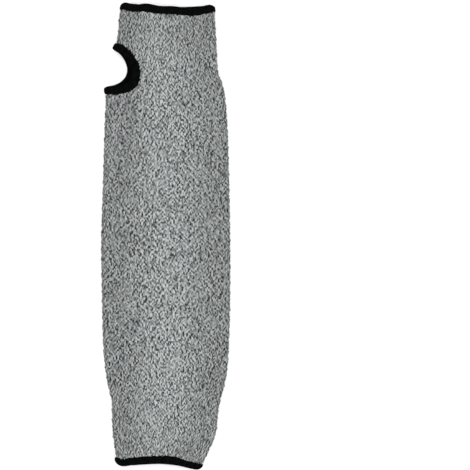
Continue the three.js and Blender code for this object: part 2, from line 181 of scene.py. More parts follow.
# How the wall swells and sinks over the top, and how uneven its folds are
SWELL = 0.00028
SWELL_WAVES = [(3, 0.071, 1.0), (5, 0.043, 0.8), (8, 0.029, 0.5), (11, 0.019, 0.35)]
FOLD_RIPPLE = 0.00024
FOLD_WAVES = [(5, 0.0034, 0.8), (9, 0.0053, 0.9), (4, 0.0083, 1.0), (7, 0.0131, 0.8)]

# The bindings
THREAD_PITCH = 0.00118  # from one thread to the next
THREAD_FACETS = 6  # grid steps in a thread
THREAD_DEPTH = 0.00034  # from the top of a thread to the gap beside it
THREAD_ROUNDNESS = 0.7  # below 1 a thread is broader than the gap beside it
THREAD_TIGHTNESS = (0.75, 1.0)  # least and most height of a thread
THREAD_SLANT = 2.6  # threads that a thread leans over between the free edge and the lip
THREAD_ENDS = (-0.35, 1.0)  # a thread ends between these shares of LIP_RAGGED past the lip
SHORT_THREAD = 0.55  # every other thread ends at this share of its length past the lip
LIP_RAGGED = 0.0012
LIP_START = 0.55  # the threads begin to differ at this share of the width
LEAST_SIZE = 0.0005  # a binding shrinks between its threads as if it were at least this thick
SIDE_CROWN = 5  # the higher, the squarer the side of a binding
TUCK = 0.0004  # the slot starts this far behind the lip
SLOT_DRAW = 0.0001  # the slot's sides are drawn this far towards the knit
PINCH = 0.0011  # a binding draws in this far, at its free edge and its lip, where it turns round a fold
PINCH_REACH = 0.003
SPREAD = 0.0012  # the thumb hole's binding is this much wider at the hole's lower corner
SPREAD_AT = 0.34  # share of the way round the hole
SPREAD_REACH = 0.05
SIDE_POINTS = 11  # points of a binding's outline on each side
NOSE_POINTS = 8  # and round its free edge
BAKE_MARGIN = 0.003

# The marl yarn. The mixes say how far each thing moves the yarn from black, 0, to white, 1.
STRANDS_PER_WALE, STRANDS_PER_COURSE = 1.22, 0.72
STRAND_APART = (57.3, 11.7)  # so that the strands' random numbers aren't the legs'
TWISTS_PER_COURSE, TWIST_LEAN, TWIST_SHIFT = 1.6, 1.3, 5.0
LEG_MIX, STRAND_MIX, STRAND_ROW_MIX, PLY_MIX, CLOUD_MIX = 0.87, 0.55, 0.14, 0.25, 0.08
ALL_BLACK = 0.14  # below this sum the yarn is all black
PAINTED_GAP_SHADE = 0.4  # share of the colour taken away in the gaps between legs, as painted shade
LEG_ROUNDNESS = 0.8
LINK_TONE = 0.35  # how light the painted shade leaves it where one leg passes into the next, between the gap, 0, and the crown, 1
BLACK_YARN, WHITE_YARN = (0.013, 0.014, 0.014, 1.0), (0.545, 0.574, 0.568, 1.0)
# The black thread, in the same way: from its darkest, 0, to its lightest, 1
THREAD_MIX, FIBRE_MIX, MOTTLE_MIX = 0.25, 0.4, 1.4
ALL_DARK = 0.63
DARK_THREAD, LIGHT_THREAD = (0.0001, 0.0002, 0.0002, 1.0), (0.0042, 0.0049, 0.0046, 1.0)

# The picture
PHOTO_SIZE = 470
PHOTO_SCALE = 0.00098  # metres to a pixel at the height of the side folds
PHOTO_CENTRE = (0.0679, 0.0012)  # what the middle of the picture looks at
CAMERA_HEIGHT = 4.0
SENSOR = 36.0
SOFTBOX_STRENGTH, SOFTBOX_WIDTH = 3.3, 75  # the width in degrees, as seen from the sleeve
ROOM_STRENGTH = 0.62
FLOOR_HALF = 6.0
FLOOR_DROP = 0.0003  # the floor lies this far under the sleeve


def smoothstep(t):
    """0 below 0, 1 above 1, and 3 t^2 - 2 t^3 between them."""
    t = np.clip(t, 0, 1)
    return t * t * (3 - 2 * t)


def curve_through(rows, values, at):
    """A cubic from row to row of a table whose slope at a row is that from the row before it to the row
    after it. Past the first and last row it runs straight on."""
    rows, values = np.asarray(rows, float), np.asarray(values, float)
    index = np.arange(len(rows))
    before, after = np.maximum(index - 1, 0), np.minimum(index + 1, len(rows) - 1)
    slope = (values[after] - values[before]) / (rows[after] - rows[before])
    i = np.clip(np.searchsorted(rows, at, side="right") - 1, 0, len(rows) - 2)
    span = rows[i + 1] - rows[i]
    t = (at - rows[i]) / span
    c = np.clip(t, 0, 1)
    c2, c3 = c**2, c**3
    curve = (2 * c3 - 3 * c2 + 1) * values[i] + (c3 - 2 * c2 + c) * span * slope[i]
    curve = curve + (3 * c2 - 2 * c3) * values[i + 1] + (c3 - c2) * span * slope[i + 1]
    return curve + (t - c) * span * np.where(t > 1, slope[i + 1], slope[i])


def wave(side, around, column):
    """A column of an end's table of waves at a share of the way round: 1 is how far the edge moves towards
    the hand and 2 is the width of the binding. The table repeats after one turn."""
    table = HAND_WAVE if side > 0 else ARM_WAVE
    rows = np.array([table[-1], *table, table[0], table[1]], float)
    rows[0, 0] -= 1
    rows[-2:, 0] += 1
    return BINDING_WIDTH * curve_through(rows[:, 0], rows[:, column], around)


def lift_share(distance):
    """Share of the full lift at a distance from a free edge."""
    return 1 - smoothstep((distance - LIFT_REACH) / LIFT_FADE)


def section_at(y):
    """The middle of the wall at distances y from the arm end: a flat lower line, two side folds of one
    radius and one shallow arc over the top that is tangent to both folds."""
    table = dict(zip(SECTION_COLUMNS, np.array(SECTIONS, float).T))
    along = y / SLEEVE_LENGTH
    half = table["width"] / 2
    left = curve_through(table["along"], table["left"] * half, along) + KNIT_WALL / 2
    right = curve_through(table["along"], table["right"] * half, along) - KNIT_WALL / 2
    height = curve_through(table["along"], table["height"], along) * PUFF_HEIGHT
    fold = np.minimum(FOLD_RADIUS, MOST_FOLD_SHARE * height)
    flat = (right - left) / 2 - fold
    top = (flat**2 + (height - fold) ** 2 - fold**2) / (2 * (height - 2 * fold))
    tilt = np.arcsin(flat / (top - fold))
    base = KNIT_WALL / 2 + LIFT * lift_share(np.minimum(y, SLEEVE_LENGTH - y))
    quarter = fold * np.pi / 2
    upper = fold * (np.pi / 2 - tilt)
    lengths = np.stack([upper, 2 * top * tilt, upper, quarter, 2 * flat, quarter])
    return SimpleNamespace(
        middle=(left + right) / 2, height=height, fold=fold, flat=flat, top=top, tilt=tilt, base=base,
        lengths=lengths, girth=lengths.sum(0),
    )


def on_section(section, around):
    """x and z of the wall's middle, and the outward direction there, at distances around a section from
    the left fold over the top. Each of the six stretches is an arc about its own centre, apart from the
    flat lower line."""
    s = section
    run = np.mod(around, s.girth)
    starts = np.concatenate([np.zeros_like(s.lengths[:1]), np.cumsum(s.lengths, axis=0)[:-1]])
    part = (run[None] >= starts).sum(0) - 1
    own = run - np.take_along_axis(starts, part[None], 0)[0]
    low = s.base + s.fold
    angles = [
        np.pi / 2 - own / s.fold,
        s.tilt - own / s.top,
        -s.tilt - own / s.fold,
        -np.pi / 2 - own / s.fold,
        np.full_like(own, np.pi),
        -np.pi - own / s.fold,
    ]
    centres_x = [s.middle - s.flat, s.middle, s.middle + s.flat, s.middle + s.flat,
                 s.middle + s.flat - own, s.middle - s.flat]
    centres_z = [low, s.base + s.height - s.top, low, low, low, low]
    radii = [s.fold, s.top, s.fold, s.fold, s.fold, s.fold]
    angle, radius = np.choose(part, angles), np.choose(part, radii)
    nx, nz = -np.sin(angle), np.cos(angle)
    x = np.choose(part, centres_x) + radius * nx
    z = np.choose(part, centres_z) + radius * nz
    return x, z, nx, nz


def thumb_edge(turn):
    """Free edge of the thumb hole in the unrolled wall, as (around, y): a squared-off ellipse, fuller
    towards the arm, deeper on the front than on the back, and leaning towards the arm on the front. The
    turn is 0 at its hand end and pi at its arm end."""

    def fullness(t):
        return np.abs(np.sin(t)) ** THUMB_FULLNESS * (1 - THUMB_SKEW * np.cos(t))

    fullest = fullness(np.linspace(0, 2 * np.pi, 721)).max()
    around = np.where(np.sin(turn) > 0, THUMB_FRONT, -THUMB_BACK) * fullness(turn) / fullest
    y = THUMB_LENGTH / 2 * np.cos(turn) - THUMB_LEAN * np.maximum(0, around)
    return np.stack([around, y + SLEEVE_LENGTH - THUMB_FROM_HAND], axis=-1)


def even_loop(points, count, reach):
    """count points of a closed outline, the directions away from it, and the length of the outline pushed
    out by reach, which the points part into even steps."""
    run = np.roll(points, -1, 0) - np.roll(points, 1, 0)
    away = np.stack([-run[:, 1], run[:, 0]], axis=1)
    away /= np.linalg.norm(away, axis=1)[:, None]
    pushed = points + reach * away
    steps = np.linalg.norm(np.roll(pushed, -1, 0) - pushed, axis=1)
    length = np.concatenate([[0], np.cumsum(steps)])
    at = np.linspace(0, length[-1], count, endpoint=False)

    def spaced(values):
        closed = np.concatenate([values, values[:1]])
        return np.stack([np.interp(at, length, closed[:, k]) for k in (0, 1)], axis=1)

    return spaced(points), spaced(away), length[-1]


THUMB_POINTS = thumb_edge(np.linspace(0, 2 * np.pi, THUMB_FINE, endpoint=False))
THUMB_COARSE = THUMB_POINTS[::THUMB_EVERY]


def from_left_fold(around, girth):
    """A distance around a section as a distance from the left fold, below 0 on the back."""
    run = np.mod(around, girth)
    return np.where(run > girth / 2, run - girth, run)


def near_thumb(around, y):
    """True in the square of the unrolled wall that holds the thumb hole."""
    return (np.abs(around) < THUMB_AROUND) & (np.abs(y - SLEEVE_LENGTH + THUMB_FROM_HAND) < THUMB_AROUND)


def beyond_thumb(around, y):
    """Distance in the unrolled wall from the thumb hole's free edge. Past THUMB_AROUND it is one metre,
    which is as good as endless."""
    distance = np.ones(around.shape)
    near = near_thumb(around, y)
    here = np.stack([around[near], y[near]], axis=1)
    distance[near] = np.sqrt(((here[:, None] - THUMB_COARSE[None]) ** 2).sum(2).min(1))
    return distance


def inside_thumb(around, y, reach):
    """True inside the thumb hole's free edge pushed out by reach: a ray towards +around crosses the
    outline an odd number of times."""
    outline, away, _ = even_loop(THUMB_POINTS, THUMB_CUT, reach)
    start = outline + reach * away
    end = np.roll(start, -1, 0)
    near = near_thumb(around, y)
    here, high = around[near][:, None], y[near][:, None]
    rise = end[:, 1] - start[:, 1]
    spans = (start[:, 1] > high) != (end[:, 1] > high)
    crossing = start[:, 0] + (high - start[:, 1]) * (end[:, 0] - start[:, 0]) / np.where(rise == 0, 1, rise)
    inside = np.zeros(around.shape, bool)
    inside[near] = (spans & (here < crossing)).sum(1) % 2 == 1
    return inside


def bells(table, along, across):
    """The sum of one bell curve for each row of a table with the columns of DENTS."""
    total = np.zeros_like(across)
    for place_along, place_across, depth, reach_along, reach_across in table:
        away = ((along - place_along) / reach_along) ** 2 + ((across - place_across) / reach_across) ** 2
        total += depth * np.exp(-away)
    return total


def painted_shading_at(share, y):
    """How light the knit is painted: 1 in the middle of the front and back, less towards the folds as painted
    shade, and less by the sum of one bell curve for each row of PAINTED_SHADE_AND_LIGHT, as painted shade or
    painted light."""
    turn = np.mod(share, 1)
    across = np.where(turn < 0.5, 4 * turn - 1, 3 - 4 * turn)  # -1 at the left fold, 1 at the right fold
    side = smoothstep((SHADE_START - np.abs(across)) / SHADE_WIDTH)
    return (1 - PAINTED_FOLD_SHADE + PAINTED_FOLD_SHADE * side) * (1 - bells(PAINTED_SHADE_AND_LIGHT, y / SLEEVE_LENGTH, across))


def wall(around, y):
    """The middle of the wall, and its outward directions, at places in the unrolled wall. It is the
    section, lifted near the thumb hole, dented over the top, and flared at the fold beside the hole."""
    section = section_at(y)
    x, z, nx, nz = on_section(section, around)
    beyond = beyond_thumb(from_left_fold(around, section.girth), y)
    end = lift_share(np.minimum(y, SLEEVE_LENGTH - y))
    z = z + LIFT * lift_share(beyond) * (1 - end)
    across = (x - section.middle) / (section.flat + section.fold)
    z = z - PUFF_HEIGHT * bells(DENTS, y / SLEEVE_LENGTH, across) * np.maximum(0, nz)
    x = x - THUMB_FLARE * np.exp(-((beyond / BINDING_WIDTH) ** 2)) * np.maximum(0, -nx) ** 2
    points = np.stack([x, y, z], axis=-1)
    outward = np.stack([nx, np.zeros_like(nx), nz], axis=-1)
    return points, outward


def end_edge(share, side):
    """y of an end's free edge at a share of the way round. side is 1 at the hand end, -1 at the arm end."""
    return (SLEEVE_LENGTH if side > 0 else 0) + wave(side, share, 1)


def place_in_frame():
    """Shift from the sleeve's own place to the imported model's: the middle of the outline's width goes to
    the middle of the knit's box, and the middle between the outermost points of the two free edges goes
    halfway between the outer ends of the two bindings' boxes."""
    y = np.linspace(0, SLEEVE_LENGTH, 800)
    section = section_at(y)
    reach = section.flat + section.fold + KNIT_WALL / 2
    lowest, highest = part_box("knit_tube")
    left, right = (section.middle - reach).min(), (section.middle + reach).max()
    shift_x = (lowest[0] + highest[0]) / 2 - (left + right) / 2
    share = np.linspace(0, 1, 800)
    arm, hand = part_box("arm_end_binding")[0][1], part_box("hand_end_binding")[1][1]
    shift_y = (arm + hand) / 2 - (end_edge(share, -1).min() + end_edge(share, 1).max()) / 2
    return np.array([shift_x, shift_y, 0.0])


SHIFT = place_in_frame()


def ripple(first, second, waves, seed):
    """Smooth random waves: a sum of slanting sines with seeded phases. first is in turns round the
    sleeve, so it closes, and second is a length along it. A row of waves gives the turns, the length and
    the height of one sine."""
    draw = np.random.default_rng(seed)
    total = np.zeros(np.broadcast(first, second).shape)
    for turns, length, height in waves:
        phase, lean = draw.uniform(0, 2 * np.pi), draw.choice([-1, 1])
        total = total + height * np.sin(2 * np.pi * (turns * first + lean * second / length) + phase)
    return total


def mesh_object(name, points, quads, triangles, maps, material, tone=None):
    """An object from points, quads and triangles. maps names each UV map and gives its corners, those of
    the quads first. tone, if given, is a number for each point: painted light and shade for its colour."""
    corners = np.concatenate([quads.ravel(), triangles.ravel()])
    starts = np.concatenate([np.arange(len(quads)) * 4, len(quads) * 4 + np.arange(len(triangles)) * 3])
    mesh = bpy.data.meshes.new(name)
    mesh.vertices.add(len(points))
    mesh.vertices.foreach_set("co", points.astype(np.float32).ravel())
    mesh.loops.add(len(corners))
    mesh.loops.foreach_set("vertex_index", corners.astype(np.int32))
    mesh.polygons.add(len(starts))
    mesh.polygons.foreach_set("loop_start", starts.astype(np.int32))
    mesh.update(calc_edges=True)
    mesh.shade_smooth()
    for title, places in maps.items():
        mesh.uv_layers.new(name=title).uv.foreach_set("vector", places.astype(np.float32).ravel())
    # painted light and shade for each point, which the material multiplies its colour by
    if tone is not None:
        mesh.attributes.new("tone", "FLOAT", "POINT").data.foreach_set("value", tone.astype(np.float32))
    mesh.materials.append(material)
    made = bpy.data.objects.new(name, mesh)
    bpy.context.scene.collection.objects.link(made)
    return made


def stitch_grid():
    """The knit as a grid of stitches. Columns are even shares of the girth and rows are even steps
    between the two cut edges. A row climbs by STITCH_RISE from the middle of each stitch to its edges, so
    each leg slants, and the surface is highest in the middle of a leg."""
    columns = np.arange(WALES * PER_WALE)
    rows = np.arange(COURSES * PER_COURSE + 1)
    share = (columns / (WALES * PER_WALE))[None, :]
    flat_y = np.linspace(KNIT_INSET, SLEEVE_LENGTH - KNIT_INSET, len(rows))[:, None]
    arm_wave = end_edge(share, -1) * (1 - smoothstep(flat_y / WAVE_FADE))
    hand_wave = (end_edge(share, 1) - SLEEVE_LENGTH) * (1 - smoothstep((SLEEVE_LENGTH - flat_y) / WAVE_FADE))
    climb = np.array([0.5, 0.0, -0.5, 0.0])[columns % PER_WALE][None, :]
    y = flat_y + arm_wave + hand_wave + climb * STITCH_RISE
    draw = np.random.default_rng(11)
    unsteady = smoothstep(np.minimum(flat_y, SLEEVE_LENGTH - flat_y) / STEADY_END)
    drift = ROW_DRIFT * ripple(share, flat_y, ROW_WAVES, 3) * unsteady
    y = y + drift + draw.normal(0, ROW_SCATTER, y.shape)
    wander = COLUMN_DRIFT * ripple(share, flat_y, COLUMN_WAVES, 5)
    around = share * section_at(y).girth + wander + draw.normal(0, COLUMN_SCATTER, y.shape)
    leg = np.array([0.0, 1.0, 0.0, 1.0])[columns % PER_WALE][None, :]
    gap = np.array([0.0, 0.0, MIDDLE_SHARE, 0.0])[columns % PER_WALE][None, :]
    crown = np.where(rows % PER_COURSE == 1, 1.0, LINK_SHARE)[:, None]
    plump = draw.uniform(*PLUMPNESS, (COURSES + 1, WALES * 2))
    plump = plump[rows // PER_COURSE][:, columns * 2 // PER_WALE]
    height = leg * crown * plump + gap
    out = KNIT_WALL / 2 - STITCH_DEPTH * (1 - height)
    # with painted light and shade for each point: darker towards the folds and in patches
    return SimpleNamespace(around=around, y=y, out=out, tone=painted_shading_at(np.broadcast_to(share, y.shape), y))


def knit_pieces(material):
    """The knitted tube in four lengths that meet at a row of stitches. Each has the stitches outside and
    a plain inner side with one point to a stitch, closed at its two ends and round the thumb hole."""
    grid = stitch_grid()
    middle, outward = wall(grid.around, grid.y)
    share = grid.around / section_at(grid.y).girth
    swell = SWELL * ripple(share, grid.y, SWELL_WAVES, 8) * np.maximum(0, outward[..., 2])
    swell = swell + FOLD_RIPPLE * ripple(share, grid.y, FOLD_WAVES, 9) * outward[..., 0] ** 2
    outer = middle + outward * (grid.out + swell)[..., None] + SHIFT
    inner = (middle - outward * KNIT_WALL / 2)[::PER_COURSE, ::PER_WALE] + SHIFT
    edge_y = grid.y[::PER_COURSE, ::PER_WALE]
    stitch_y = (edge_y[1:] + edge_y[:-1]) / 2
    girth = section_at(stitch_y).girth
    stitch_around = (np.arange(WALES)[None, :] + 0.5) / WALES * girth
    kept = ~inside_thumb(from_left_fold(stitch_around, girth), stitch_y, KNIT_INSET + HOLE_MARGIN)
    bounds = np.linspace(0, COURSES, len(KNIT_PIECES) + 1).round().astype(int)
    return [
        knit_piece(name, outer[first * PER_COURSE:last * PER_COURSE + 1], inner[first:last + 1],
                   grid.tone[first * PER_COURSE:last * PER_COURSE + 1], kept[first:last], first, material)
        for name, first, last in zip(KNIT_PIECES, bounds[:-1], bounds[1:])
    ]


def fan(chain, pair, flip):
    """Triangles that join a chain of outer points to the two inner points behind its ends: the first half
    of the chain to the first of the pair, one triangle across, and the second half to the second."""
    half = chain.shape[1] // 2
    steps = [(chain[:, k], chain[:, k + 1], pair[:, int(k >= half)]) for k in range(chain.shape[1] - 1)]
    steps.insert(half, (chain[:, half], pair[:, 1], pair[:, 0]))
    triangles = np.concatenate([np.stack(step, axis=1) for step in steps])
    return triangles[:, ::-1] if flip else triangles


def knit_piece(name, outer, inner, tone, kept, first, material):
    """One length of the tube, whose lowest row of stitches is number first. kept is false for the
    stitches that the thumb hole leaves out."""
    tall = len(kept)
    # painted light and shade for each point, outer side first, then inner side
    tone = np.concatenate([tone.ravel(), tone[::PER_COURSE, ::PER_WALE].ravel()])
    wide = WALES * PER_WALE
    outer_count = outer.shape[0] * wide

    def out_at(row, column):
        return row * wide + column % wide

    def in_at(row, column):
        return outer_count + row * WALES + column % WALES

    def spot(row, column, layer):
        """Corner places as (column in stitches, row in stitches, layer): layer 0 is the outer side, 1 the
        inner side, and 2 and 3 are the outer and inner line of a rim."""
        return np.stack([column, row, np.full(np.shape(row), float(layer))], axis=-1)

    turn_rows, turn_columns = np.array([0, 0, 1, 1]), np.array([0, 1, 1, 0])
    r, c = np.nonzero(np.repeat(np.repeat(kept, PER_COURSE, axis=0), PER_WALE, axis=1))
    rr, cc = r[:, None] + turn_rows, c[:, None] + turn_columns
    outer_quads, outer_spots = out_at(rr, cc)[:, ::-1], spot(rr / PER_COURSE, cc / PER_WALE, 0)[:, ::-1]
    r, c = np.nonzero(kept)
    rr, cc = r[:, None] + turn_rows, c[:, None] + turn_columns
    quads = np.concatenate([outer_quads, in_at(rr, cc)])
    quad_spots = np.concatenate([outer_spots, spot(rr, cc, 1)])

    padded = np.zeros((tall + 2, WALES), bool)
    padded[1:-1] = kept
    before = np.roll(kept, 1, axis=1)
    rims = [  # open edges, whether they run round the sleeve, whether their triangles turn the other way
        (padded[1:] & ~padded[:-1], True, True),
        (padded[:-1] & ~padded[1:], True, False),
        (kept & ~before, False, False),
        (before & ~kept, False, True),
    ]
    triangles, spots = [], []
    for edge, runs_round, flip in rims:
        r, c = (index[:, None] for index in np.nonzero(edge))
        row_step, column_step, count = (0, 1, PER_WALE) if runs_round else (1, 0, PER_COURSE)
        steps, pair = np.arange(count + 1), np.array([0, 1])
        chain_rows, chain_columns = r * PER_COURSE + row_step * steps, c * PER_WALE + column_step * steps
        pair_rows, pair_columns = r + row_step * pair, c + column_step * pair
        triangles.append(fan(out_at(chain_rows, chain_columns), in_at(pair_rows, pair_columns), flip))
        spots.append(fan(spot(chain_rows / PER_COURSE, chain_columns / PER_WALE, 2),
                         spot(pair_rows, pair_columns, 3), flip))
    triangles, spots = np.concatenate(triangles), np.concatenate(spots)

    used = np.unique(np.concatenate([quads.ravel(), triangles.ravel()]))
    points = np.concatenate([outer.reshape(-1, 3), inner.reshape(-1, 3)])[used]
    new_index = np.zeros(used.max() + 1, np.int64)
    new_index[used] = np.arange(len(used))
    column, row, layer = np.concatenate([quad_spots.reshape(-1, 3), spots.reshape(-1, 3)]).T
    layer = layer.astype(int)
    stripe_start, stripe_height = STRIPES[layer].T
    run = np.where(layer > 1, 1, row / tall)
    bake_map = np.stack([STRIPE_MARGIN + (1 - 2 * STRIPE_MARGIN) * column / WALES,
                         stripe_start + stripe_height * run], axis=1)
    maps = {"OFBake": bake_map, "stitches": np.stack([column, row + first], axis=1)}
    return mesh_object(name, points, new_index[quads], new_index[triangles], maps, material, tone[used])


def binding_profile(width):
    """Outline across a binding as (inward, out, worked): inward from the free edge and out across the
    wall, for each width of a column of widths. It runs from the outer lip over a crowned side, round a
    half-round nose and back along the inner side, then through the slot that holds the knit. worked is 1
    where threads show."""
    t = np.linspace(1, 0, SIDE_POINTS, endpoint=False)
    side = BINDING_HALF + (width - BINDING_HALF) * t
    out = SLOT_HALF + BINDING_WALL * np.sqrt(np.maximum(0, 1 - t**SIDE_CROWN))
    turn = np.linspace(np.pi / 2, -np.pi / 2, NOSE_POINTS)
    nose = np.tile(BINDING_HALF * (1 - np.cos(turn)), (len(width), 1))
    web = np.full_like(width, BINDING_WEB)
    inward = np.hstack([side, nose, side[:, ::-1], width - TUCK, web, web, width - TUCK])
    slot_out = np.array([-1, -1, 1, 1]) * (SLOT_HALF - SLOT_DRAW)
    out = np.concatenate([out, BINDING_HALF * np.sin(turn), -out[::-1], slot_out])
    worked = np.concatenate([np.ones(2 * SIDE_POINTS + NOSE_POINTS), np.zeros(4)])
    return inward, out, worked


def overlocked(name, threads, place, width, seed, material):
    """A binding whose threads wrap the edge. place takes a share of the way along the binding and a
    distance inwards, and gives the wall's middle and outward direction. Each thread is a rounded ridge,
    the absolute value of a sine across it, that leans towards the lip and ends raggedly there."""
    steps = threads * THREAD_FACETS
    along = (np.arange(steps) / steps)[:, None]
    width = np.broadcast_to(width(along), along.shape)
    inward, out, worked = binding_profile(width)
    draw = np.random.default_rng(seed)
    ends = draw.uniform(*THREAD_ENDS, threads) * np.where(np.arange(threads) % 2, 1.0, SHORT_THREAD)
    tight = draw.uniform(*THREAD_TIGHTNESS, threads)
    face = np.sign(out) * worked
    thread = along * threads + THREAD_SLANT * face * inward / width
    number = np.floor(thread).astype(int) % threads
    ridge = np.abs(np.sin(np.pi * thread)) ** THREAD_ROUNDNESS
    lip = np.clip((inward / width - LIP_START) / (1 - LIP_START), 0, 1) ** 2 * worked
    reach = inward + LIP_RAGGED * lip * ends[number] * ridge
    drop = THREAD_DEPTH * (1 - ridge * tight[number]) * worked
    size = np.hypot(out, np.maximum(0, BINDING_HALF - inward))
    shrink = 1 - drop / np.maximum(size, LEAST_SIZE)
    sunk = BINDING_HALF - (BINDING_HALF - reach) * np.where(inward < BINDING_HALF, shrink, 1)
    middle, outward = place(np.broadcast_to(along, reach.shape), sunk)
    points = middle + outward * (out * shrink)[..., None] + SHIFT
    wide, rings = len(out), 8
    r, c = np.meshgrid(np.arange(steps), np.arange(wide), indexing="ij")
    rr = r.ravel()[:, None] + np.array([0, 1, 1, 0])
    cc = c.ravel()[:, None] + np.array([0, 0, 1, 1])
    # Of the first few rings, the faces have to point away from the middle of their ring
    sides = points.reshape(-1, 3)[(rr % steps * wide + cc % wide)[:wide * rings]]
    turned = np.cross(sides[:, 1] - sides[:, 0], sides[:, 3] - sides[:, 0])
    centre = points[:rings].mean(axis=1).repeat(wide, axis=0)
    if ((sides.mean(1) - centre) * turned).sum() < 0:
        rr, cc = rr[:, ::-1], cc[:, ::-1]
    quads = rr % steps * wide + cc % wide
    places = np.stack([rr / steps, cc / wide], axis=-1).reshape(-1, 2)
    maps = {"OFBake": BAKE_MARGIN + (1 - 2 * BAKE_MARGIN) * places, "threads": places * [threads, 1]}
    return mesh_object(name, points.reshape(-1, 3), quads, np.zeros((0, 3), int), maps, material)


def pinch(distance):
    """How much a binding draws in where it turns round a fold, at a distance from the fold: a bell."""
    return PINCH * np.exp(-((distance / PINCH_REACH) ** 2))


def end_binding(name, side, seed, material):
    """Binding of an end of the tube."""
    edge_y = SLEEVE_LENGTH if side > 0 else 0.0
    girth = float(section_at(np.array([edge_y])).girth[0])

    def pinched(share):
        return pinch(girth * (0.25 - np.abs(np.mod(share, 0.5) - 0.25)))

    def place(share, inward):
        y = end_edge(share, side) - side * (inward + pinched(share))
        return wall(share * section_at(y).girth, y)

    def width(share):
        return wave(side, share, 2) - 2 * pinched(share)

    return overlocked(name, round(girth / THREAD_PITCH), place, width, seed, material)


def thumb_binding(name, seed, material):
    """Binding of the thumb hole."""
    length = even_loop(THUMB_POINTS, 16, BINDING_WIDTH / 2)[2]
    threads = round(length / THREAD_PITCH)

    def loop(share):
        edge, away, _ = even_loop(THUMB_POINTS, share.shape[0], BINDING_WIDTH / 2)
        return edge[:, None], away[:, None]

    def place(share, inward):
        edge, away = loop(share)
        at = edge + away * (inward + pinch(edge[..., 0]))[..., None]
        return wall(at[..., 0], at[..., 1])

    def width(share):
        spread = SPREAD * np.exp(-(((share - SPREAD_AT) / SPREAD_REACH) ** 2))
        return BINDING_WIDTH + spread - 2 * pinch(loop(share)[0][..., 0])

    return overlocked(name, threads, place, width, seed, material)


class Value:
    """What a node gives: a number, place or colour that changes over the surface. Sums on a number add
    Math nodes."""

    def __init__(self, look, socket):
        self.look, self.socket = look, socket

    def __add__(self, other):
        return self.look.math("ADD", self, other)

    def __sub__(self, other):
        return self.look.math("SUBTRACT", self, other)

    def __rsub__(self, other):
        return self.look.math("SUBTRACT", other, self)

    def __mul__(self, other):
        return self.look.math("MULTIPLY", self, other)

    __radd__, __rmul__ = __add__, __mul__


class Look:
    """A material. Its shader's constant sockets are set by name."""

    def __init__(self, name, **constants):
        self.material = bpy.data.materials.new(name)
        self.material.use_nodes = True
        self.tree = self.material.node_tree
        self.shader = self.tree.nodes["Principled BSDF"]
        for socket, value in constants.items():
            self.shader.inputs[socket.replace("_", " ")].default_value = value

    def node(self, kind, settings, inputs, output=0):
        """Adds a node: its settings first, then the values or links of its sockets."""
        made = self.tree.nodes.new(kind)
        for name, value in settings.items():
            if name == "stops":
                fill_ramp(made.color_ramp, value)
            else:
                setattr(made, name, value)
        for socket, value in inputs.items():
            self.feed(made.inputs[socket], value)
        return Value(self, made.outputs[output])

    def feed(self, socket, value):
        """Links a value to a socket, or sets a plain number or colour on it."""
        if isinstance(value, Value):
            self.tree.links.new(value.socket, socket)
        else:
            socket.default_value = value

    def math(self, operation, *values, clamp=False):
        """One Math node. clamp keeps its result between 0 and 1."""
        settings = {"operation": operation, "use_clamp": clamp}
        return self.node("ShaderNodeMath", settings, dict(enumerate(values)))

    def mix(self, share, first, second):
        """Colour from first at share 0 to second at share 1."""
        return self.node("ShaderNodeMix", {"data_type": "RGBA"}, {0: share, 6: first, 7: second}, 2)

    def vector(self, x, y):
        """A flat place from two numbers."""
        return self.node("ShaderNodeCombineXYZ", {}, {0: x, 1: y})

    def uv(self, name):
        """The two coordinates of a UV map."""
        both = self.node("ShaderNodeUVMap", {"uv_map": name}, {})
        return [self.node("ShaderNodeSeparateXYZ", {}, {0: both}, k) for k in (0, 1)]

    def noise(self, where, scale, detail=2.0, roughness=0.5):
        """Smooth noise between 0 and 1."""
        return self.node("ShaderNodeTexNoise", {}, {
            "Vector": where, "Scale": scale, "Detail": detail, "Roughness": roughness})

    def chance(self, where):
        """A random number for each place, the same each time."""
        return self.node("ShaderNodeTexWhiteNoise", {"noise_dimensions": "2D"}, {"Vector": where})

    def own_place(self):
        """The place on the piece, in metres."""
        return self.node("ShaderNodeTexCoord", {}, {}, "Object")

    def bump(self, strength, distance, height):
        """A surface raised by height times distance."""
        return self.node("ShaderNodeBump", {}, {"Strength": strength, "Distance": distance, "Height": height})

    def feed_shader(self, **values):
        """Feeds the shader's sockets that change over the surface."""
        for socket, value in values.items():
            self.feed(self.shader.inputs[socket.replace("_", " ")], value)


def fill_ramp(ramp, stops):
    """Sets the two ends of a colour ramp from (position, colour) pairs."""
    for element, (position, colour) in zip(ramp.elements, stops):
        element.position = position
        element.color = colour


